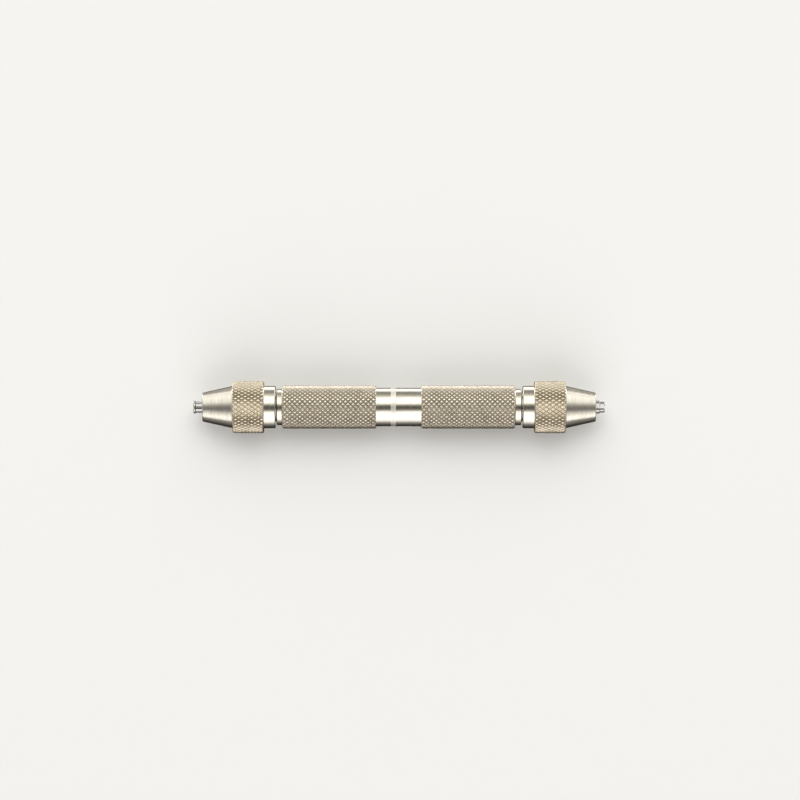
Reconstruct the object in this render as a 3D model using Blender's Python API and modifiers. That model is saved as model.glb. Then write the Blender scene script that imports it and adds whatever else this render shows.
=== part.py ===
"""Double-ended pin vise: a hand tool that grips fine drills in a slit collet at either end.

The tool lies along X on its two knurled collars, with +Z up. The origin is on the surface that it
lies on, under the middle of its length. Each end is built in its own frame, whose +Z points out
along the tool's axis, and heights there are measured from the middle of the handle.
"""

import math

import bmesh
import bpy
from mathutils import Matrix, Vector

MM = 0.001

# --- turning -----------------------------------------------------------------------------------
FACETS = 24                       # sides of a turned piece, one of them facing straight down
HALF_FACET = math.pi / FACETS
CHAMFER = 0.25 * MM
FINE_CHAMFER = 0.15 * MM

# --- fits --------------------------------------------------------------------------------------
RUNNING_CLEARANCE = 0.09 * MM     # radial, between a turned piece and the bore that it runs in
RESTING_GAP = 0.30 * MM           # between faces that rest on each other

# --- handle ------------------------------------------------------------------------------------
HANDLE_CENTRE_X = -0.1 * MM
KNURL_R = 5.25 * MM
KNURL_START = 5.5 * MM
KNURL_END = 28.25 * MM
BAND_R = 4.675 * MM
NECK_R = 4.40 * MM
NECK_END = 29.6 * MM
RELIEF_R = 3.50 * MM              # the undercut that the spigot's thread runs out in
RELIEF_END = 30.9 * MM
SPIGOT_R = 3.90 * MM
SPIGOT_END = 38.0 * MM
PILOT_BORE_R = 1.85 * MM
CHAMBER_R = 3.08 * MM

SEAM_X = -1.3 * MM                # where the two halves of the handle meet, from the handle's middle
SEAM_GROOVE = 0.12 * MM
STUD_R = 3.20 * MM                # spigot of the right half, inside the left half
STUD_LENGTH = 8.0 * MM

# --- chuck nut ---------------------------------------------------------------------------------
NUT_BACK = 30.05 * MM
SKIRT_R = 5.15 * MM
SKIRT_LENGTH = 2.85 * MM
COLLAR_R = 6.35 * MM
COLLAR_LENGTH = 7.5 * MM
CONE_LENGTH = 7.4 * MM
CONE_BACK_R = 5.15 * MM
NOSE_R = 3.50 * MM
NOSE_HOLE_R = 1.85 * MM
COUNTERBORE_R = 4.50 * MM
COUNTERBORE_LENGTH = 1.85 * MM
THREAD_LENGTH = 7.1 * MM

# --- collet ------------------------------------------------------------------------------------
COLLET_MIDDLE = 37.75 * MM
COLLET_HALF = 12.25 * MM
BARREL_R = 3.00 * MM
BARREL_HALF = 3.95 * MM
TIP_R = 1.575 * MM
CLOSING_ANGLE = math.radians(20.0)
BODY_HALF = 2.0 * MM              # half the length of the collet's unsplit middle
THROUGH_BORE_R = 1.0 * MM
GRIP_LENGTH = 5.8 * MM
HINGE_R = 2.0 * MM                # the jaws bend about the middle of the wall at the slit's root
SLIT_TURN = math.radians(10.0)    # how far the collets' upper slits lean to -Y from straight up

# Each end: the direction of its outward axis, and how far its chuck stands off the nominal place.
ENDS = {
    "left": (-1.0, -0.1 * MM),
    "right": (1.0, 0.1 * MM),
}

# Each collet's jaws: slit width, grip bore radius, radius and length of the step on the tip.
JAWS = {
    ("left", "front"): (0.50 * MM, 0.45 * MM, TIP_R, 0.0),
    ("left", "rear"): (0.70 * MM, 0.60 * MM, TIP_R, 0.0),
    ("right", "front"): (0.90 * MM, 0.75 * MM, 1.35 * MM, 1.2 * MM),
    ("right", "rear"): (0.90 * MM, 0.90 * MM, TIP_R, 0.0),
}

AXIS_HEIGHT = COLLAR_R * math.cos(HALF_FACET)
CLOSING_LENGTH = (BARREL_R - TIP_R) / math.tan(CLOSING_ANGLE)
NICKEL = ((0.62, 0.60, 0.54, 1.0), 0.28)
COLLET_STEEL = ((0.50, 0.50, 0.50, 1.0), 0.32)


def clear_scene():
    for obj in list(bpy.data.objects):
        bpy.data.objects.remove(obj, do_unlink=True)


def new_collection(name):
    collection = bpy.data.collections.new(name)
    bpy.context.scene.collection.children.link(collection)
    return collection


def metal(name, look):
    """A Principled metal from a base colour and a roughness."""
    colour, roughness = look
    material = bpy.data.materials.new(name)
    material.use_nodes = True
    shader = material.node_tree.nodes["Principled BSDF"]
    shader.inputs["Base Color"].default_value = colour
    shader.inputs["Metallic"].default_value = 1.0
    shader.inputs["Roughness"].default_value = roughness
    return material


def empty(name, collection, parent=None, matrix=None):
    holder = bpy.data.objects.new(name, None)
    collection.objects.link(holder)
    holder.parent = parent
    holder.matrix_local = matrix or Matrix.Identity(4)
    holder.empty_display_size = 2 * MM
    return holder


def turned(name, profile, collection, parent, material):
    """A piece turned about its own Z axis. profile is a closed run of (radius, height) points,
    down the outer side and back up the bore."""
    mesh = bpy.data.meshes.new(name)
    points = [(radius, 0.0, height) for radius, height in profile]
    edges = [(i, (i + 1) % len(points)) for i in range(len(points))]
    mesh.from_pydata(points, edges, [])
    mesh.materials.append(material)
    piece = bpy.data.objects.new(name, mesh)
    collection.objects.link(piece)
    piece.parent = parent
    piece.rotation_euler.z = HALF_FACET
    screw = piece.modifiers.new("turning", "SCREW")
    screw.axis = "Z"
    screw.angle = math.tau
    screw.steps = FACETS
    screw.render_steps = FACETS
    screw.use_merge_vertices = True
    screw.merge_threshold = 1e-6
    screw.use_smooth_shade = True
    return piece


def handle_end_profile():
    """The outer end of a handle half, from the mouth of its bore down to the band, and the bore's
    seat for the collet, both as (radius, height) runs."""
    slope = math.tan(CLOSING_ANGLE)
    seat_top = COLLET_MIDDLE - BARREL_HALF - (BARREL_R + RESTING_GAP - CHAMBER_R) / slope
    seat_foot = seat_top - (CHAMBER_R - PILOT_BORE_R) / slope
    outside = [
        (SPIGOT_R - CHAMFER, SPIGOT_END),
        (SPIGOT_R, SPIGOT_END - CHAMFER),
        (SPIGOT_R, RELIEF_END + SPIGOT_R - RELIEF_R),
        (RELIEF_R, RELIEF_END),
        (RELIEF_R, NECK_END),
        (NECK_R - FINE_CHAMFER, NECK_END),
        (NECK_R, NECK_END - FINE_CHAMFER),
        (NECK_R, KNURL_END),
        (KNURL_R - CHAMFER, KNURL_END),
        (KNURL_R, KNURL_END - CHAMFER),
        (KNURL_R, KNURL_START + CHAMFER),
        (KNURL_R - CHAMFER, KNURL_START),
        (BAND_R, KNURL_START),
    ]
    bore = [
        (PILOT_BORE_R, seat_foot),
        (CHAMBER_R, seat_top),
        (CHAMBER_R, SPIGOT_END - FINE_CHAMFER),
        (CHAMBER_R + FINE_CHAMFER, SPIGOT_END),
    ]
    return outside, bore


def left_half_profile():
    """The socket half: its band ends at the seam and its bore opens into the joining socket."""
    outside, bore = handle_end_profile()
    seam = -SEAM_X + RESTING_GAP / 2
    socket_r = STUD_R + RUNNING_CLEARANCE
    socket_end = -SEAM_X + STUD_LENGTH + RESTING_GAP
    seam_end = [
        (BAND_R, seam + SEAM_GROOVE),
        (BAND_R - SEAM_GROOVE, seam),
        (socket_r, seam),
        (socket_r, socket_end),
        (PILOT_BORE_R, socket_end),
    ]
    return outside + seam_end + bore


def right_half_profile():
    """The stud half: a stud stands out of the seam end of its band."""
    outside, bore = handle_end_profile()
    seam = SEAM_X + RESTING_GAP / 2
    stud_end = SEAM_X - STUD_LENGTH
    seam_end = [
        (BAND_R, seam + SEAM_GROOVE),
        (BAND_R - SEAM_GROOVE, seam),
        (STUD_R, seam),
        (STUD_R, stud_end + CHAMFER),
        (STUD_R - CHAMFER, stud_end),
        (PILOT_BORE_R, stud_end),
    ]
    return outside + seam_end + bore


def nut_profile():
    """The chuck nut, from its collet's middle: nose, cone, collar and skirt outside, then the
    counterbore, the thread, the chamber and the closing taper inside."""
    back = NUT_BACK - COLLET_MIDDLE
    collar_back = back + SKIRT_LENGTH
    collar_front = collar_back + COLLAR_LENGTH
    nose = collar_front + CONE_LENGTH
    thread_start = back + COUNTERBORE_LENGTH
    thread_end = thread_start + THREAD_LENGTH
    chamber_r = BARREL_R + RESTING_GAP
    taper_front = BARREL_HALF + (chamber_r - NOSE_HOLE_R) / math.tan(CLOSING_ANGLE)
    return [
        (NOSE_HOLE_R + FINE_CHAMFER, nose),
        (NOSE_R - FINE_CHAMFER, nose),
        (NOSE_R, nose - FINE_CHAMFER),
        (CONE_BACK_R, collar_front),
        (COLLAR_R - CHAMFER, collar_front),
        (COLLAR_R, collar_front - CHAMFER),
        (COLLAR_R, collar_back + CHAMFER),
        (COLLAR_R - CHAMFER, collar_back),
        (SKIRT_R, collar_back),
        (SKIRT_R, back + FINE_CHAMFER),
        (SKIRT_R - FINE_CHAMFER, back),
        (COUNTERBORE_R, back),
        (COUNTERBORE_R, thread_start),
        (SPIGOT_R + RUNNING_CLEARANCE, thread_start + CHAMFER),
        (SPIGOT_R + RUNNING_CLEARANCE, thread_end),
        (chamber_r, thread_end),
        (chamber_r, BARREL_HALF),
        (NOSE_HOLE_R, taper_front),
        (NOSE_HOLE_R, nose - FINE_CHAMFER),
    ]


def collet_body_profile():
    """The unsplit middle of a collet, centred on its own origin."""
    return [
        (BARREL_R, BODY_HALF),
        (BARREL_R, -BODY_HALF),
        (THROUGH_BORE_R, -BODY_HALF),
        (THROUGH_BORE_R, BODY_HALF),
    ]


def jaw_ring_profile(grip_r, step_r, step_length):
    """The ring that one end's four jaws are quarters of, from the collet's middle."""
    root = BODY_HALF + RESTING_GAP
    grip_end = COLLET_HALF - GRIP_LENGTH
    ring = [(step_r - FINE_CHAMFER, COLLET_HALF), (step_r, COLLET_HALF - FINE_CHAMFER)]
    if step_length:
        ring += [(step_r, COLLET_HALF - step_length), (TIP_R, COLLET_HALF - step_length - FINE_CHAMFER)]
    return ring + [
        (TIP_R, BARREL_HALF + CLOSING_LENGTH),
        (BARREL_R, BARREL_HALF),
        (BARREL_R, root),
        (THROUGH_BORE_R, root),
        (THROUGH_BORE_R, grip_end - FINE_CHAMFER),
        (grip_r, grip_end),
        (grip_r, COLLET_HALF),
    ]


def quadrant_cutter(name, slit, collection, parent):
    """A box that holds one quarter of a ring, half a slit's width clear of both slit planes."""
    side = 2 * BARREL_R
    height = COLLET_HALF + 2 * MM
    mesh = bpy.data.meshes.new(name)
    shape = bmesh.new()
    middle = Vector(((slit + side) / 2, (slit + side) / 2, height / 2))
    size = Matrix.Diagonal((side, side, height, 1.0))
    bmesh.ops.create_cube(shape, size=1.0, matrix=Matrix.Translation(middle) @ size)
    shape.to_mesh(mesh)
    shape.free()
    cutter = bpy.data.objects.new(name, mesh)
    collection.objects.link(cutter)
    cutter.parent = parent
    cutter.hide_render = True
    cutter.display_type = "WIRE"
    return cutter


def jaw(side, row, number, parts, cutters, parent, material):
    """One jaw: a quarter of the slit end of a collet, hung on a hinge at the root of its slits."""
    slit, grip_r, step_r, step_length = JAWS[side, row]
    name = f"{row}_jaw_{side}_{number + 1}"
    turn = Matrix.Rotation(number * math.pi / 2, 4, "Z")
    across = HINGE_R / math.sqrt(2)
    pivot = Matrix.Translation((across, across, BODY_HALF + RESTING_GAP / 2))
    hinge = empty(name + "_hinge", parts, parent, turn @ pivot)
    profile = jaw_ring_profile(grip_r, step_r, step_length)
    piece = turned(name, profile, parts, hinge, material)
    piece.location = -pivot.translation
    cutter = quadrant_cutter(name + "_quadrant", slit, cutters, hinge)
    cutter.location = -pivot.translation
    quarter = piece.modifiers.new("quarter", "BOOLEAN")
    quarter.operation = "INTERSECT"
    quarter.solver = "EXACT"
    quarter.object = cutter
    return piece


def build_end(side, assembly, parts, cutters, nickel, steel):
    """One end of the tool: its handle half, its nut, and its collet with eight jaws."""
    direction, stand_off = ENDS[side]
    place = Matrix.Translation((HANDLE_CENTRE_X, 0.0, AXIS_HEIGHT))
    outward = empty(f"{side}_end", parts, assembly, place @ Matrix.Rotation(direction * math.pi / 2, 4, "Y"))

    half_profile = left_half_profile() if side == "left" else right_half_profile()
    turned(f"handle_half_{side}", half_profile, parts, outward, nickel)

    middle = Matrix.Translation((0.0, 0.0, COLLET_MIDDLE + stand_off))
    chuck = empty(f"{side}_chuck", parts, outward, middle)
    turned(f"chuck_nut_{side}", nut_profile(), parts, chuck, nickel)

    collet = empty(f"{side}_collet", parts, chuck, Matrix.Rotation(direction * SLIT_TURN, 4, "Z"))
    turned(f"collet_body_{side}", collet_body_profile(), parts, collet, steel)

    turned_round = empty(f"{side}_collet_rear", parts, collet, Matrix.Rotation(math.pi, 4, "X"))
    for row, holder in (("front", collet), ("rear", turned_round)):
        for number in range(4):
            jaw(side, row, number, parts, cutters, holder, steel)


def build():
    clear_scene()
    parts = new_collection("pin_vise_drill")
    cutters = new_collection("cutters")
    nickel = metal("nickel_plate", NICKEL)
    steel = metal("collet_steel", COLLET_STEEL)
    assembly = empty("pin_vise", parts)
    for side in ENDS:
        build_end(side, assembly, parts, cutters, nickel, steel)


build()
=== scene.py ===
"""Looks of the double-ended pin vise: knurls, threads, turned profiles, slit jaws and satin nickel.

Every piece is made where its CAD node lies. Heights run out along the tool's axis, from the middle
of the handle, and an End says where that axis lies in the frame.
"""

import math

import bpy
import numpy as np
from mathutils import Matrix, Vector


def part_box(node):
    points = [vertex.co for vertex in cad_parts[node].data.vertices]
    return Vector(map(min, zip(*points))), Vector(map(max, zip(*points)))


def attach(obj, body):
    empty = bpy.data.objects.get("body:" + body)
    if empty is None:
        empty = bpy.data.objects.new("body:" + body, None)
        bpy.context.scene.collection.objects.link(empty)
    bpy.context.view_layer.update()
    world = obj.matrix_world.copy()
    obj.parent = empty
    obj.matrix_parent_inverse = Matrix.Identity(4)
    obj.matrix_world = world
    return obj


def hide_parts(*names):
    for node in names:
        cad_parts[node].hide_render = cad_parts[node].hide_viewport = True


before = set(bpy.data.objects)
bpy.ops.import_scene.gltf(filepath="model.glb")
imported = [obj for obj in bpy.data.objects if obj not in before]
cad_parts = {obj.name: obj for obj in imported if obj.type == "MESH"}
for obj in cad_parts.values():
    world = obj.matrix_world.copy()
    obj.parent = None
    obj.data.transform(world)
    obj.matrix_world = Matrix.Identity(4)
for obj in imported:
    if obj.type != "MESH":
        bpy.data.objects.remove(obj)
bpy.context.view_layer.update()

MM = 0.001
SIDES = {"left": -1.0, "right": 1.0}

# --- handle, in metres, as in the CAD ----------------------------------------------------------
KNURL_R = 5.25 * MM
KNURL_START = 5.5 * MM
KNURL_END = 28.25 * MM
BAND_R = 4.675 * MM
NECK_R = 4.40 * MM
NECK_END = {"left": 29.6 * MM, "right": 29.8 * MM}
RELIEF_R = 3.50 * MM
RELIEF_END = 30.9 * MM
SPIGOT_END = 38.0 * MM
PILOT_BORE_R = 1.85 * MM
CHAMBER_R = 3.08 * MM
SEAT_TOP = 33.2 * MM
SEAT_FOOT = 29.82 * MM
SEAM = -1.3 * MM                  # where the halves meet, along X from the handle's middle
SEAM_LINE = 0.03 * MM             # the gap between them
SEAM_HOLLOW = 0.60 * MM           # half the width of the shallow hollow turned over the seam
SEAM_DEPTH = 0.05 * MM            # of that hollow
STUD_R = 3.20 * MM
STUD_LENGTH = 8.0 * MM
STUD_CLEARANCE = 0.09 * MM        # round the stud in its socket
SOCKET_EXTRA = 0.3 * MM           # how much deeper the socket is than the stud is long

# --- thread of the spigots and nuts ------------------------------------------------------------
THREAD_PITCH = 0.75 * MM
THREAD_R = 3.79 * MM              # mean radius of the outside thread
THREAD_DEPTH = 0.19 * MM          # of the crests above the mean, and of the roots below it
THREAD_CLEARANCE = 0.07 * MM
THREAD_STEPS = 8                  # rows of points in one pitch
THREAD_SHARPNESS = 0.96           # near 0 a sine wave, at 1 a sharp V
THREAD_SHADE = 0.35               # how dark its roots are painted, partly dirt and partly painted shade, against a knurl's grooves

# --- chuck nut, heights from its nose ----------------------------------------------------------
SKIRT_R = 5.15 * MM
SKIRT_LENGTH = 2.85 * MM
COLLAR_R = 6.35 * MM
COLLAR_LENGTH = 7.5 * MM
CONE_LENGTH = 7.4 * MM
CONE_BACK_R = 5.15 * MM
NOSE_R = 3.50 * MM
NOSE_HOLE_R = 1.85 * MM
COUNTERBORE_R = 4.50 * MM
COUNTERBORE_LENGTH = 1.85 * MM
THREAD_LENGTH = 7.1 * MM
TAPER_R = 3.30 * MM
TAPER_BACK = -6.1 * MM
TAPER_FRONT = -2.116 * MM

# --- knurls ------------------------------------------------------------------------------------
KNURL_STEPS = 8                   # rows and columns of points in one diamond
KNURL_DEPTH = 0.23 * MM
CREST_GAIN = 1.40                 # above 1, the crests of the diamonds are flattened
KNURL_CHAMFER = 0.25 * MM
KNURL_EDGE = 0.28 * MM            # how far below its crests a knurl meets the plain faces
FACE_LEAN = 0.02 * MM             # out of square, which keeps the rows of a flat face apart
CREST_WEAR = 0.16                 # most of its height that a diamond has lost
HANDLE_DIAMONDS = 27
HANDLE_PITCH = 1.23 * MM
COLLAR_DIAMONDS = 38
COLLAR_PITCH = 1.60 * MM

# --- collet, heights from its middle -----------------------------------------------------------
BARREL_R = 3.00 * MM
BARREL_HALF = 3.95 * MM
CONE_FOOT = 7.865 * MM
COLLET_HALF = 12.25 * MM
TIP_R = 1.575 * MM
BODY_HALF = 2.0 * MM
ROOT_GAP = 0.10 * MM              # between a jaw's root and the body, for the jaw to bend into
THROUGH_BORE_R = 1.0 * MM
GRIP_LENGTH = 5.8 * MM
TIP_CHAMFER = 0.15 * MM
TIP_LIP = 0.45 * MM               # length of the flared lip on a plain tip
LIP_DEPTH = 0.22 * MM             # of the waist behind the lip
JAW_SLOPE = 0.364                 # how fast a jaw's cone widens towards its root
JAW_BEVEL = 0.035 * MM
JAW_BEVEL_FROM = math.radians(40.0)
JAW_STEPS = (14, 6)               # points along the outer and the inner side of a section
LEAST_BORE = 1.08                 # least bore radius, in half diagonals of the slits' crossing
BARREL_COLUMNS = 96
SLIT_TURN = math.radians(10.0)    # how far the upper slits lean to -Y
# Each collet's jaws: slit width, grip bore radius, radius and length of the step on the tip.
JAWS = {
    ("left", "front"): (0.50 * MM, 0.45 * MM, TIP_R, 0.0),
    ("left", "rear"): (0.70 * MM, 0.60 * MM, TIP_R, 0.0),
    ("right", "front"): (0.90 * MM, 0.75 * MM, 1.35 * MM, 1.2 * MM),
    ("right", "rear"): (0.90 * MM, 0.90 * MM, TIP_R, 0.0),
}

# --- colours -----------------------------------------------------------------------------------
NICKEL = (0.66, 0.625, 0.545, 1.0)
WORN_NICKEL = (0.67, 0.61, 0.50, 1.0)
NUT_NICKEL = (0.68, 0.60, 0.46, 1.0)
RUBBED_RING_SHEEN = (0.88, 0.84, 0.75, 1.0)  # painted sheen: a lighter colour on the matt worn ring over the handle's seam
# dark colour for random stains, and for the knurls' grooves and the threads' roots, where it is
# partly dirt and partly painted shade
TARNISH_AND_SHADE = (0.22, 0.18, 0.12, 1.0)
STEEL = (0.44, 0.435, 0.42, 1.0)
STEEL_DARK = (0.22, 0.21, 0.19, 1.0)
FLOOR = (0.80, 0.80, 0.79, 1.0)
WALL = (0.80, 0.80, 0.79, 1.0)

# --- surfaces: noise scales, and how much each one adds ----------------------------------------
COARSE_MARKS = 2600.0
FINE_MARKS = 9000.0
CLOUDS = 420.0
RIPPLES = 620.0
RIPPLE_GAIN = 2.5                 # of the ripples in the bump, against the tool marks
MARKS_DEPTH = 0.02 * MM
MARKS_SLOPE_GAIN = 0.9            # how far the marks follow the radius, so that faces have rings
MARKS_ROUND_GAIN = 0.012          # how little they change round the tool
SATIN = 0.19                      # roughness of the metal
GROOVE_ROUGHNESS = 0.18           # added in the grooves
RUBBED_ROUGHNESS = 0.26           # added on the ring over the seam
RUBBED_FADE = 0.1 * MM
FLOOR_GRAIN = 900.0
FLOOR_ROUGHNESS = 0.9
FLOOR_MOTTLE = 0.985              # the floor's darker tone, as a share of its colour


# --- where the ends lie ------------------------------------------------------------------------

def middle_of(node):
    low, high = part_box(node)
    return (low + high) / 2


SHARP_FROM = math.radians(32.0)   # edges that turn further than this are shaded sharp
AXIS_Z = middle_of("collet_body_left").z
HANDLE_X = (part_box("handle_half_left")[0].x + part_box("handle_half_right")[1].x) / 2


class End:
    """One end of the tool: its outward direction along X, and a point on its axis."""

    def __init__(self, side, origin_x):
        self.out = SIDES[side]
        self.x = origin_x

    def points(self, radius, height, angle):
        """World points at a radius, a height and an angle, right-handed about the outward axis."""
        x = self.x + self.out * height
        y = -self.out * radius * np.sin(angle)
        z = AXIS_Z + radius * np.cos(angle)
        return np.stack(np.broadcast_arrays(x, y, z), axis=-1)


def outer_face(node, side):
    """X of a node's face that looks outward along the tool."""
    low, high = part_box(node)
    return high.x if SIDES[side] > 0 else low.x


# --- turned pieces -----------------------------------------------------------------------------

class Row:
    """One ring of points round a turned piece: radius, height, the row's number in a knurl, and
    how deep in a groove it lies. The first and the last are numbers or arrays round the ring."""

    def __init__(self, radius, height, lattice=None, groove=0.0):
        self.radius = radius
        self.height = height
        self.lattice = lattice
        self.groove = groove


def rounded(corners, steps=4):
    """Plain rows down a profile of (radius, height, fillet) corners. A corner with a fillet
    becomes an arc."""
    rows = []
    last = len(corners) - 1
    for i, (radius, height, fillet) in enumerate(corners):
        if fillet == 0.0 or i in (0, last):
            rows.append(Row(radius, height))
            continue
        here = Vector((radius, height))
        before = Vector(corners[i - 1][:2]) - here
        after = Vector(corners[i + 1][:2]) - here
        reach = min(fillet, 0.45 * before.length, 0.45 * after.length)
        start = here + before.normalized() * reach
        stop = here + after.normalized() * reach
        for k in range(steps + 1):
            t = k / steps
            point = start * (1 - t) ** 2 + here * 2 * t * (1 - t) + stop * t ** 2
            rows.append(Row(point.x, point.y))
    return rows


def triangle_wave(phase):
    """0 at whole phases and 1 half way between them."""
    return 1.0 - np.abs(2.0 * (phase % 1.0) - 1.0)


def knurl_rows(top, foot, radius, diamonds, pitch, seed):
    """A diamond knurl from height top down to foot: two crossing helices of V grooves, whose
    lines run along the grid's diagonals, with worn crests, chamfered off at both ends."""
    columns = diamonds * KNURL_STEPS
    count = round((top - foot) / pitch * KNURL_STEPS)
    worn = np.random.default_rng(seed).random((2 * diamonds, 2 * count))
    i = np.arange(columns)
    rows = []
    for j in range(count + 1):
        along = (i + j) / KNURL_STEPS
        across = (i - j) / KNURL_STEPS
        crest = np.minimum(triangle_wave(along), triangle_wave(across))
        first, second = np.floor(along).astype(int), np.floor(across).astype(int)
        wear = CREST_WEAR * worn[(first + second) % (2 * diamonds), first - second] ** 2
        rise = np.minimum(np.minimum(crest * CREST_GAIN, 1.0), 1.0 - wear)
        height = top + (foot - top) * j / count
        edge = radius - KNURL_CHAMFER + min(top - height, height - foot)
        found = np.minimum(radius - KNURL_DEPTH * (1.0 - rise), edge)
        rows.append(Row(found, height, lattice=j, groove=1.0 - rise))
    return rows


def thread_rows(top, foot, columns, datum=0.0, inside=False, chamfer=0.0):
    """A right-hand thread from height top to foot. datum is the distance of the heights' zero from
    the handle's middle, which keeps all threads in step. inside makes the nut's thread, which
    clears the spigot's by THREAD_CLEARANCE. The spigot's is chamfered at the top."""
    count = round(abs(top - foot) / THREAD_PITCH * THREAD_STEPS)
    angle = math.tau * np.arange(columns) / columns
    rows = []
    for j in range(count + 1):
        height = top + (foot - top) * j / count
        phase = math.tau * (height + datum) / THREAD_PITCH - angle
        wave = np.arcsin(THREAD_SHARPNESS * np.sin(phase)) / math.asin(THREAD_SHARPNESS)
        radius = THREAD_R + THREAD_DEPTH * wave + (THREAD_CLEARANCE if inside else 0.0)
        if chamfer:
            radius = np.minimum(radius, THREAD_R + THREAD_DEPTH - chamfer + abs(top - height))
        shade = THREAD_SHADE * (1.0 + wave if inside else 1.0 - wave) / 2
        rows.append(Row(radius, height, groove=shade))
    return rows


def turned(name, end, rows, columns, material):
    """A closed turned piece: rows of points go down its outer side and back up its bore."""
    angle = math.tau * np.arange(columns) / columns
    points = [end.points(row.radius, row.height, angle) for row in rows]
    groove = [np.broadcast_to(row.groove, columns) for row in rows]
    faces = []
    ring = np.arange(columns)
    after = np.roll(ring, -1)
    for k, row in enumerate(rows):
        below = rows[(k + 1) % len(rows)]
        a = k * columns + ring
        b = k * columns + after
        c = (k + 1) % len(rows) * columns + after
        d = (k + 1) % len(rows) * columns + ring
        if row.lattice is None or below.lattice is None:
            faces += np.stack((a, b, c, d), axis=1).tolist()
            continue
        main = ((ring - row.lattice) % KNURL_STEPS == 0)[:, None]
        faces += np.where(main, np.stack((a, b, c), axis=1), np.stack((a, b, d), axis=1)).tolist()
        faces += np.where(main, np.stack((a, c, d), axis=1), np.stack((b, c, d), axis=1)).tolist()
    return new_piece(name, np.concatenate(points), faces, material, np.concatenate(groove))


def signed_volume(points, faces):
    """Six times the volume within the faces, negative if they look inward. Faces of more than
    four points, such as a jaw's ends, are left out, as the sign doesn't need them."""
    total = 0.0
    for size in (3, 4):
        fans = np.array([f for f in faces if len(f) == size], dtype=int)
        for k in range(1, size - 1 if len(fans) else 1):
            a, b, c = points[fans[:, 0]], points[fans[:, k]], points[fans[:, k + 1]]
            total += float((a * np.cross(b, c)).sum())
    return total


def new_piece(name, points, faces, material, groove=None):
    """An object from points and faces, its faces turned to look outward and shaded smooth."""
    if signed_volume(points - points.mean(axis=0), faces) < 0:
        faces = [face[::-1] for face in faces]
    mesh = bpy.data.meshes.new(name)
    mesh.from_pydata(points.tolist(), [], faces)
    mesh.materials.append(material)
    shade = mesh.attributes.new("groove", "FLOAT", "POINT")
    if groove is not None:
        shade.data.foreach_set("value", groove.astype(np.float32))
    mesh.shade_smooth()
    mesh.set_sharp_from_angle(angle=SHARP_FROM)
    piece = bpy.data.objects.new(name, mesh)
    bpy.context.scene.collection.objects.link(piece)
    return piece


def stand_for(piece, node, body):
    """The piece rides on a body and takes the place of a CAD node."""
    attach(piece, body)
    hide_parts(node)


# --- handle ------------------------------------------------------------------------------------

def handle_outside(columns, seed, neck_end):
    """From the mouth of the spigot down to the top of the smooth band."""
    return (
        rounded([
            (CHAMBER_R, SPIGOT_END - 0.15 * MM, 0.0),
            (CHAMBER_R + 0.15 * MM, SPIGOT_END, 0.05 * MM),
            (THREAD_R - THREAD_DEPTH, SPIGOT_END, 0.0),
        ])
        + thread_rows(SPIGOT_END - FACE_LEAN, RELIEF_END + 0.3 * MM, columns, chamfer=0.4 * MM)
        + rounded([
            (RELIEF_R, RELIEF_END, 0.0),
            (RELIEF_R, neck_end, 0.15 * MM),
            (NECK_R, neck_end, 0.2 * MM),
            (NECK_R, KNURL_END + FACE_LEAN, 0.18 * MM),
            (KNURL_R - KNURL_EDGE, KNURL_END, 0.0),
        ])
        + knurl_rows(KNURL_END, KNURL_START, KNURL_R, HANDLE_DIAMONDS, HANDLE_PITCH, seed)
        + rounded([
            (KNURL_R - KNURL_EDGE, KNURL_START, 0.0),
            (BAND_R, KNURL_START - FACE_LEAN, 0.12 * MM),
        ])
    )


def handle_bore():
    """From the pilot bore up through the collet's seat to the mouth of the spigot."""
    return rounded([
        (PILOT_BORE_R, SEAT_FOOT - 1.0 * MM, 0.0),
        (PILOT_BORE_R, SEAT_FOOT, 0.1 * MM),
        (CHAMBER_R, SEAT_TOP, 0.1 * MM),
        (CHAMBER_R, SPIGOT_END - 0.5 * MM, 0.0),
    ])


def hollow_edge(seam):
    """The end of the band, with a crisp edge where it dips into its half of the hollow. seam is
    the height of the half's end face."""
    return [
        (BAND_R, 4.5 * MM, 0.0),
        (BAND_R, seam + SEAM_HOLLOW, 0.02 * MM),
        (BAND_R - SEAM_DEPTH, seam + 0.15 * MM, 0.35 * MM),
        (BAND_R - SEAM_DEPTH, seam, 0.02 * MM),
    ]


def left_seam():
    """The socket half's end, with the socket that the other half's stud goes into."""
    seam = -SEAM + SEAM_LINE / 2
    socket_r = STUD_R + STUD_CLEARANCE
    socket_end = -SEAM + STUD_LENGTH + SOCKET_EXTRA
    return hollow_edge(seam) + [
        (socket_r, seam, 0.1 * MM),
        (socket_r, socket_end, 0.1 * MM),
        (PILOT_BORE_R, socket_end, 0.0),
    ]


def right_seam():
    """The stud half's end, with the stud beyond its seam."""
    seam = SEAM + SEAM_LINE / 2
    stud_end = SEAM - STUD_LENGTH
    return hollow_edge(seam) + [
        (STUD_R, seam, 0.1 * MM),
        (STUD_R, stud_end, 0.25 * MM),
        (PILOT_BORE_R, stud_end, 0.0),
    ]


def handle_half(side, seed, material):
    node = f"handle_half_{side}"
    columns = HANDLE_DIAMONDS * KNURL_STEPS
    seam = left_seam() if side == "left" else right_seam()
    rows = handle_outside(columns, seed, NECK_END[side]) + rounded(seam) + handle_bore()
    piece = turned(node + "_fine", End(side, HANDLE_X), rows, columns, material)
    stand_for(piece, node, "handle")


# --- chuck nuts --------------------------------------------------------------------------------

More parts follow.
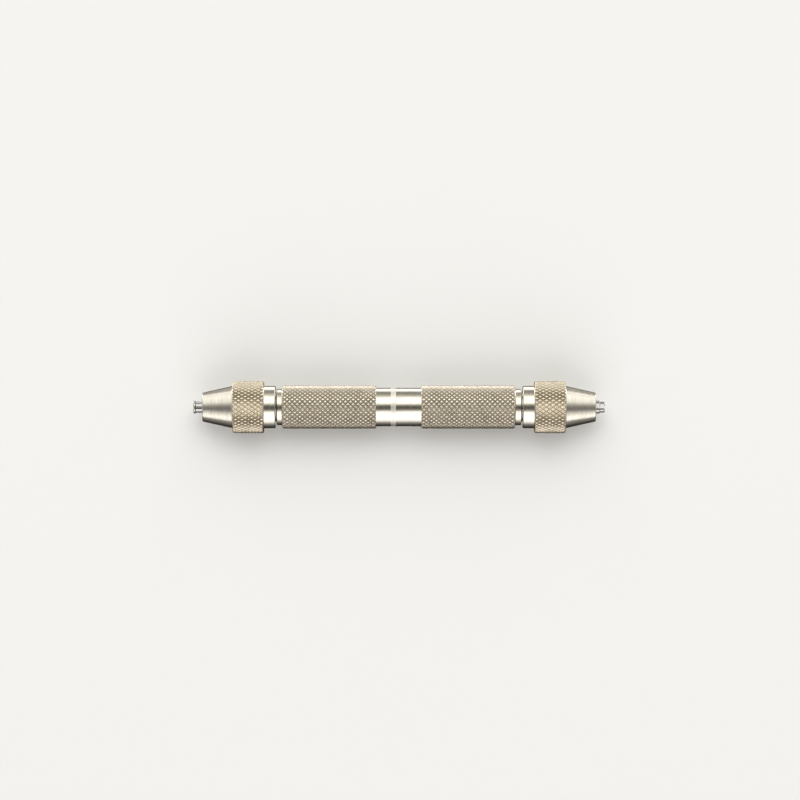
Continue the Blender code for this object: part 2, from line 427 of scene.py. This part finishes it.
def nut_rows(columns, seed, datum):
    """The chuck nut from its nose: outside down to the back face, then up the bore."""
    collar_front = -CONE_LENGTH
    collar_back = collar_front - COLLAR_LENGTH
    back = collar_back - SKIRT_LENGTH
    thread_start = back + COUNTERBORE_LENGTH
    thread_end = thread_start + THREAD_LENGTH
    face_r = COLLAR_R - KNURL_EDGE
    root_r = THREAD_R + THREAD_DEPTH + THREAD_CLEARANCE
    outside_front = rounded([
        (NOSE_HOLE_R, -0.15 * MM, 0.0),
        (NOSE_HOLE_R + 0.15 * MM, 0.0, 0.06 * MM),
        (NOSE_R, 0.0, 0.18 * MM),
        (CONE_BACK_R, collar_front + FACE_LEAN, 0.15 * MM),
        (face_r, collar_front, 0.0),
    ])
    outside_back = rounded([
        (face_r, collar_back, 0.0),
        (SKIRT_R, collar_back - FACE_LEAN, 0.15 * MM),
        (SKIRT_R, back, 0.2 * MM),
        (COUNTERBORE_R, back, 0.12 * MM),
        (COUNTERBORE_R, thread_start - 0.1 * MM, 0.1 * MM),
        (root_r, thread_start, 0.0),
    ])
    bore = rounded([
        (root_r, thread_end - 0.5 * MM, 0.0),
        (root_r, thread_end, 0.1 * MM),
        (TAPER_R, thread_end, 0.1 * MM),
        (TAPER_R, TAPER_BACK, 0.1 * MM),
        (NOSE_HOLE_R, TAPER_FRONT, 0.1 * MM),
        (NOSE_HOLE_R, -0.5 * MM, 0.0),
    ])
    knurl = knurl_rows(collar_front, collar_back, COLLAR_R, COLLAR_DIAMONDS, COLLAR_PITCH, seed)
    thread = thread_rows(thread_start + 0.05 * MM, thread_end - 0.6 * MM, columns, datum,
                         inside=True)
    return outside_front + knurl + outside_back + thread + bore


def chuck_nut(side, seed, material):
    node = f"chuck_nut_{side}"
    columns = COLLAR_DIAMONDS * KNURL_STEPS
    end = End(side, outer_face(node, side))
    rows = nut_rows(columns, seed, abs(end.x - HANDLE_X))
    piece = turned(node + "_fine", end, rows, columns, material)
    stand_for(piece, node, f"nut_{side}")


# --- collets -----------------------------------------------------------------------------------

def collet_body(side, material):
    node = f"collet_body_{side}"
    rows = rounded([
        (THROUGH_BORE_R, BODY_HALF, 0.0),
        (BARREL_R, BODY_HALF, 0.03 * MM),
        (BARREL_R, -BODY_HALF, 0.03 * MM),
        (THROUGH_BORE_R, -BODY_HALF, 0.0),
    ])
    piece = turned(node + "_fine", End(side, middle_of(node).x), rows, BARREL_COLUMNS,
                   material)
    stand_for(piece, node, f"collet_{side}")


def jaw_stations(grip_r, step_r, step_length):
    """(height, outer radius, inner radius) along one jaw, from its tip to its root. A tip is
    either stepped or plain, with a flared lip and a waist behind it."""
    grip_end = COLLET_HALF - GRIP_LENGTH
    bore_end = grip_end - 0.3 * MM
    stations = [
        (COLLET_HALF, step_r - TIP_CHAMFER, grip_r + 0.1 * MM),
        (COLLET_HALF - 0.1 * MM, step_r - 0.05 * MM, grip_r),
        (COLLET_HALF - TIP_CHAMFER, step_r, grip_r),
    ]
    if step_length:
        shoulder = COLLET_HALF - step_length
        stations += [(shoulder, step_r, grip_r), (shoulder - 0.1 * MM, TIP_R, grip_r)]
    else:
        lip = COLLET_HALF - TIP_LIP
        waist_r = TIP_R - LIP_DEPTH
        waist_end = CONE_FOOT + 0.4 * MM
        stations += [
            (lip, step_r, grip_r),
            (lip - 0.15 * MM, waist_r, grip_r),
            (waist_end, waist_r, grip_r),
        ]
    return stations + [
        (CONE_FOOT, TIP_R, grip_r),
        (grip_end, TIP_R + (CONE_FOOT - grip_end) * JAW_SLOPE, grip_r),
        (bore_end, TIP_R + (CONE_FOOT - bore_end) * JAW_SLOPE, THROUGH_BORE_R),
        (BARREL_HALF, BARREL_R, THROUGH_BORE_R),
        (BODY_HALF + ROOT_GAP, BARREL_R, THROUGH_BORE_R),
    ]


def quarter_section(outer_r, inner_r, slit):
    """Points round the cross-section of a jaw: a quarter ring, half a slit clear of both planes."""
    inner_r = max(inner_r, LEAST_BORE * slit / math.sqrt(2))
    section = []
    for radius, steps, forward in zip((outer_r, inner_r), JAW_STEPS, (True, False)):
        start = math.asin(slit / 2 / radius)
        angles = np.linspace(start, math.pi / 2 - start, steps)
        for angle in angles if forward else angles[::-1]:
            section.append((radius * math.cos(angle), radius * math.sin(angle)))
    return np.array(section)


def turned_round(across, along, angle):
    """Points in the plane across the tool's axis, turned about it."""
    cosine, sine = math.cos(angle), math.sin(angle)
    return across * cosine - along * sine, across * sine + along * cosine


def jaw(side, row, number, material):
    """One jaw: a loft of quarter rings, with its small edges bevelled."""
    slit, grip_r, step_r, step_length = JAWS[side, row]
    node = f"{row}_jaw_{side}_{number + 1}"
    out = SIDES[side]
    facing = 1.0 if row == "front" else -1.0
    turn = number * math.pi / 2
    lean = out * SLIT_TURN
    middle_x = middle_of(f"collet_body_{side}").x
    points = []
    stations = jaw_stations(grip_r, step_r, step_length)
    for height, outer_r, inner_r in stations:
        section = quarter_section(outer_r, inner_r, slit)
        across, along = turned_round(section[:, 0], section[:, 1], turn)
        across, along = turned_round(across, facing * along, lean)
        x = np.full(len(section), middle_x + out * facing * height)
        points.append(np.stack((x, along, AXIS_Z - out * across), axis=1))
    size = len(points[0])
    faces = [list(range(size)), [(len(stations) - 1) * size + i for i in range(size)][::-1]]
    for k in range(len(stations) - 1):
        for i in range(size):
            j = (i + 1) % size
            faces.append([k * size + i, (k + 1) * size + i, (k + 1) * size + j, k * size + j])
    piece = new_piece(node + "_fine", np.concatenate(points), faces, material)
    bevel = piece.modifiers.new("edges", "BEVEL")
    bevel.width = JAW_BEVEL
    bevel.segments = 2
    bevel.limit_method = "ANGLE"
    bevel.angle_limit = JAW_BEVEL_FROM
    stand_for(piece, node, node)


# --- materials ---------------------------------------------------------------------------------

class Nodes:
    """A node tree, with short calls for adding and joining nodes."""

    def __init__(self, tree):
        self.tree = tree

    def add(self, kind, **settings):
        node = self.tree.nodes.new(kind)
        for key, value in settings.items():
            setattr(node, key, value)
        return node

    def join(self, source, target):
        self.tree.links.new(source, target)

    def math(self, operation, first, second=0.0):
        """One math node. An operation on one value takes no notice of the second."""
        node = self.add("ShaderNodeMath", operation=operation)
        for socket, value in zip(node.inputs, (first, second)):
            if isinstance(value, (int, float)):
                socket.default_value = value
            else:
                self.join(value, socket)
        return node.outputs[0]

    def ramp(self, source, low, high, low_value=0.0, high_value=1.0):
        """Maps source from the range low to high onto low_value to high_value, clamped."""
        node = self.add("ShaderNodeMapRange")
        self.join(source, node.inputs["Value"])
        for socket, value in zip(node.inputs[1:5], (low, high, low_value, high_value)):
            socket.default_value = value
        return node.outputs[0]

    def mix(self, factor, first, second):
        node = self.add("ShaderNodeMix", data_type="RGBA")
        self.join(factor, node.inputs[0])
        for socket, value in ((node.inputs[6], first), (node.inputs[7], second)):
            if isinstance(value, tuple):
                socket.default_value = value
            else:
                self.join(value, socket)
        return node.outputs[2]

    def noise(self, vector, scale, detail=3.0):
        node = self.add("ShaderNodeTexNoise")
        self.join(vector, node.inputs["Vector"])
        node.inputs["Scale"].default_value = scale
        node.inputs["Detail"].default_value = detail
        return node.outputs[0]


def new_material(name):
    """A material with its node tree and its Principled shader."""
    material = bpy.data.materials.new(name)
    material.use_nodes = True
    return material, Nodes(material.node_tree), material.node_tree.nodes["Principled BSDF"]


def turned_vector(nodes):
    """The object's coordinate, a coordinate for tool marks, and X. The second changes along the
    turned surface, however it slopes, and hardly changes round it, so that a noise on it draws
    the rings that a lathe leaves."""
    place = nodes.add("ShaderNodeTexCoord").outputs["Object"]
    split = nodes.add("ShaderNodeSeparateXYZ")
    nodes.join(place, split.inputs[0])
    x, y, z = split.outputs
    height = nodes.math("SUBTRACT", z, AXIS_Z)
    radius = nodes.math("SQRT", nodes.math("ADD", nodes.math("MULTIPLY", y, y),
                                           nodes.math("MULTIPLY", height, height)))
    along = nodes.math("ADD", x, nodes.math("MULTIPLY", radius, MARKS_SLOPE_GAIN))
    joined = nodes.add("ShaderNodeCombineXYZ")
    gains = (1.0, MARKS_ROUND_GAIN, MARKS_ROUND_GAIN)
    for source, gain, socket in zip((along, y, height), gains, joined.inputs):
        nodes.join(nodes.math("MULTIPLY", source, gain), socket)
    return place, joined.outputs[0], x


def turned_metal(name, bright, worn, tarnish_and_groove_shade, marks):
    """Metal off the lathe: ring marks as strong as marks, faint cloudy wear, a worn warmer colour
    where it is knurled, grooves darkened partly as dirt and partly as painted shade, and a matt
    worn ring over the handle's seam, painted lighter as a sheen."""
    material, nodes, shader = new_material(name)
    place, rings, x = turned_vector(nodes)
    groove = nodes.add("ShaderNodeAttribute", attribute_name="groove").outputs["Fac"]
    coarse = nodes.noise(rings, COARSE_MARKS, 2.0)
    fine = nodes.noise(rings, FINE_MARKS, 2.0)
    cloud = nodes.noise(place, CLOUDS, 4.0)
    ripple = nodes.noise(place, RIPPLES, 1.0)

    # painted shade: the knurls' grooves and the threads' roots are darkened, partly as dirt and
    # partly as the shade that falls in them
    groove_dirt_and_shade = nodes.math("MULTIPLY", nodes.ramp(groove, 0.25, 1.0, 0.0, 0.85),
                        nodes.ramp(cloud, 0.3, 0.7, 0.55, 1.0))
    stained = nodes.ramp(nodes.math("ADD", cloud, coarse), 1.0, 1.45, 0.0, 0.16)
    handled = nodes.ramp(groove, 0.0, 0.06)
    from_seam = nodes.math("ABSOLUTE", nodes.math("SUBTRACT", x, HANDLE_X + SEAM))
    # the ring over the seam is rougher, as worn, and is painted a lighter colour as a sheen
    rubbed_and_sheen = nodes.ramp(from_seam, SEAM_HOLLOW - RUBBED_FADE, SEAM_HOLLOW + RUBBED_FADE, 1.0, 0.0)
    colour = nodes.mix(nodes.math("MAXIMUM", groove_dirt_and_shade, stained),
                       nodes.mix(handled, bright, worn), tarnish_and_groove_shade)
    nodes.join(nodes.mix(rubbed_and_sheen, colour, RUBBED_RING_SHEEN), shader.inputs["Base Color"])
    shader.inputs["Metallic"].default_value = 1.0

    rough = nodes.math("ADD", nodes.ramp(coarse, 0.3, 0.7, SATIN - 0.05, SATIN + 0.06),
                       nodes.ramp(groove, 0.2, 1.0, 0.0, GROOVE_ROUGHNESS))
    nodes.join(nodes.math("ADD", rough, nodes.math("MULTIPLY", rubbed_and_sheen, RUBBED_ROUGHNESS)),
               shader.inputs["Roughness"])

    relief = nodes.math("ADD", nodes.math("MULTIPLY", coarse, 0.65),
                        nodes.math("MULTIPLY", fine, 0.35))
    relief = nodes.math("ADD", relief, nodes.math("MULTIPLY", ripple, RIPPLE_GAIN))
    bump = nodes.add("ShaderNodeBump")
    bump.inputs["Strength"].default_value = marks
    bump.inputs["Distance"].default_value = MARKS_DEPTH
    nodes.join(relief, bump.inputs["Height"])
    nodes.join(bump.outputs["Normal"], shader.inputs["Normal"])
    return material


def floor_material():
    """Matt pale paper, very slightly mottled."""
    material, nodes, shader = new_material("floor_paper")
    place = nodes.add("ShaderNodeTexCoord").outputs["Object"]
    tone = nodes.noise(place, FLOOR_GRAIN, 2.0)
    darker = tuple(c * FLOOR_MOTTLE for c in FLOOR[:3]) + (1.0,)
    nodes.join(nodes.mix(tone, darker, FLOOR), shader.inputs["Base Color"])
    shader.inputs["Roughness"].default_value = FLOOR_ROUGHNESS
    return material


# --- studio ------------------------------------------------------------------------------------
FLOOR_DROP = 0.06 * MM            # the knurl's crests stand this far below the CAD's flats
FLOOR_SIZE = 3.0
CAMERA_DISTANCE = 1.0
VIEW_WIDTH = 194.6 * MM           # seen at the height of the tool's axis
CAMERA_X = 0.22 * MM
CAMERA_Y = 1.73 * MM
SENSOR = 36.0
LAMP_PLACE = (0.0, 0.7, 1.5)
LAMP_SIZE = 1.2
LAMP_POWER = 7.5
BRIGHTEST = 4.2                   # radiance that the room's colour ramps hold as 1
GREENISH = (1.0, 1.0, 0.955)
PINKISH = (1.0, 0.975, 0.965)
OLIVE = (1.0, 0.97, 0.80)
# The room round the tool: radiance and tint by the angle from straight up, towards +Y. ROOM is
# seen straight across the tool, as its cylinders mirror it. SLANT_ROOM is what its cones mirror.
# END_ROOM is past the ends of the soft boxes, where only the knurls' slopes look. Beyond it, plain
# walls stand before the tool's end faces.
ROOM = [
    (-180, 0.03, OLIVE), (-132, 0.05, OLIVE), (-106, 0.36, PINKISH), (-88, 1.5, PINKISH),
    (-72, 2.0, PINKISH), (-30, 2.0, PINKISH), (-20, 0.6, PINKISH), (-12, 0.13, OLIVE),
    (7, 0.13, OLIVE), (14, 0.6, GREENISH), (24, 2.0, GREENISH), (54, 2.0, GREENISH),
    (70, 0.75, GREENISH), (86, 0.34, OLIVE), (104, 0.34, PINKISH), (118, 2.2, PINKISH),
    (132, 2.2, PINKISH), (146, 0.45, OLIVE), (160, 0.08, OLIVE), (180, 0.03, OLIVE),
]
SLANT_ROOM = [
    (-180, 0.03, OLIVE), (-130, 0.06, OLIVE), (-96, 0.40, PINKISH), (-82, 1.7, PINKISH),
    (-66, 1.9, PINKISH), (-55, 1.8, PINKISH), (-36, 1.2, PINKISH), (-23, 0.38, PINKISH),
    (-14, 0.04, OLIVE), (1, 0.04, OLIVE), (12, 0.4, OLIVE), (23, 1.1, GREENISH),
    (34, 1.8, GREENISH), (66, 1.7, GREENISH), (80, 1.6, PINKISH), (97, 0.8, PINKISH),
    (120, 0.40, PINKISH), (150, 0.2, OLIVE), (180, 0.03, OLIVE),
]
END_ROOM = [
    (-180, 0.10, OLIVE), (-120, 0.08, OLIVE), (-100, 0.08, OLIVE), (-78, 0.10, PINKISH),
    (-60, 0.13, PINKISH), (-40, 0.28, PINKISH), (-24, 0.38, PINKISH), (-8, 0.46, PINKISH),
    (8, 0.56, GREENISH), (30, 0.54, GREENISH), (52, 0.54, GREENISH), (66, 0.60, PINKISH),
    (78, 0.8, PINKISH), (90, 1.3, PINKISH), (100, 3.4, PINKISH), (135, 4.2, PINKISH),
    (152, 1.5, OLIVE), (180, 0.10, OLIVE),
]
SLANT_FROM = (0.12, 0.30)         # how far along X one room fades to the next
END_FROM = (0.51, 0.64)
FACE_FROM = (0.80, 0.92)
FACE_WALL = 0.75                  # radiance of the plain walls
END_EARLIER = 0.14                # how much sooner END_ROOM and the walls start under the horizon
HORIZON = (84 / 360, 94 / 360)    # where that sets in, in turns from straight up


def soft_lamp():
    """A large lamp high over the tool and towards +Y, which the metal doesn't mirror."""
    light = bpy.data.lights.new("lamp", "AREA")
    light.shape = "SQUARE"
    light.size = LAMP_SIZE
    light.energy = LAMP_POWER
    lamp = bpy.data.objects.new("lamp", light)
    bpy.context.scene.collection.objects.link(lamp)
    lamp.location = LAMP_PLACE
    lamp.rotation_euler = Vector(LAMP_PLACE).to_track_quat("Z", "Y").to_euler()
    lamp.visible_camera = False
    lamp.visible_glossy = False


def ring(room, turn, stops):
    """Radiance round the tool, from (degrees, radiance, tint) stops. turn goes from 0 to 1 round
    it, and is 0.5 straight up."""
    node = room.add("ShaderNodeValToRGB")
    room.join(turn, node.inputs[0])
    elements = node.color_ramp.elements
    while len(elements) < len(stops):
        elements.new(0.5)
    for element, (degrees, radiance, tint) in zip(elements, stops):
        element.position = (degrees + 180) / 360
        element.color = tuple(radiance / BRIGHTEST * c for c in tint) + (1.0,)
    return node.outputs[0]


def room_light():
    """The light tent that the metal mirrors: two long soft boxes with soft edges along the tool,
    a dim gap between them, a low card on the far side, and plain walls at the ends, which come
    nearer below the horizon. The camera sees a pale wall."""
    world = bpy.data.worlds.new("room")
    bpy.context.scene.world = world
    world.use_nodes = True
    room = Nodes(world.node_tree)
    towards = room.add("ShaderNodeSeparateXYZ")
    room.join(room.add("ShaderNodeTexCoord").outputs["Generated"], towards.inputs[0])
    x, y, z = towards.outputs
    turn = room.ramp(room.math("ARCTAN2", y, z), -math.pi, math.pi)
    along = room.math("ABSOLUTE", x)
    from_top = room.math("ABSOLUTE", room.math("SUBTRACT", turn, 0.5))
    further = room.math("ADD", along, room.ramp(from_top, *HORIZON, 0.0, END_EARLIER))
    plain_wall = (FACE_WALL / BRIGHTEST,) * 3 + (1.0,)
    seen = room.mix(room.ramp(along, *SLANT_FROM),
                    ring(room, turn, ROOM), ring(room, turn, SLANT_ROOM))
    seen = room.mix(room.ramp(further, *END_FROM), seen, ring(room, turn, END_ROOM))
    seen = room.mix(room.ramp(further, *FACE_FROM), seen, plain_wall)
    background = world.node_tree.nodes["Background"]
    background.inputs["Strength"].default_value = BRIGHTEST
    room.join(seen, background.inputs["Color"])
    wall = room.add("ShaderNodeBackground")
    wall.inputs["Color"].default_value = WALL
    either = room.add("ShaderNodeMixShader")
    room.join(room.add("ShaderNodeLightPath").outputs["Is Camera Ray"], either.inputs[0])
    room.join(background.outputs[0], either.inputs[1])
    room.join(wall.outputs[0], either.inputs[2])
    room.join(either.outputs[0], world.node_tree.nodes["World Output"].inputs[0])


def make_floor():
    bpy.ops.mesh.primitive_plane_add(size=FLOOR_SIZE, location=(0.0, 0.0, -FLOOR_DROP))
    floor = bpy.context.object
    floor.name = "floor"
    floor.data.materials.append(floor_material())
    floor.visible_glossy = False


def make_camera():
    """Straight above the tool, and a little aside, which puts it where it is in the photo."""
    data = bpy.data.cameras.new("camera")
    data.sensor_width = SENSOR
    data.lens = SENSOR * CAMERA_DISTANCE / VIEW_WIDTH
    data.clip_start = 0.01
    data.clip_end = 10.0
    camera = bpy.data.objects.new("camera", data)
    bpy.context.scene.collection.objects.link(camera)
    camera.location = (CAMERA_X, CAMERA_Y, AXIS_Z + CAMERA_DISTANCE)
    bpy.context.scene.camera = camera


def build():
    make_camera()
    nickel = turned_metal("nickel_plate_satin", NICKEL, WORN_NICKEL, TARNISH_AND_SHADE, marks=0.35)
    nut_nickel = turned_metal("nickel_plate_handled", NICKEL, NUT_NICKEL, TARNISH_AND_SHADE, marks=0.35)
    steel = turned_metal("collet_steel_ground", STEEL, STEEL, STEEL_DARK, marks=0.25)
    for seed, side in enumerate(SIDES):
        handle_half(side, seed, nickel)
        chuck_nut(side, 10 + seed, nut_nickel)
        collet_body(side, steel)
        for row in ("front", "rear"):
            for number in range(4):
                jaw(side, row, number, steel)
    make_floor()
    soft_lamp()
    room_light()
    bpy.context.scene.view_settings.view_transform = "Standard"


build()
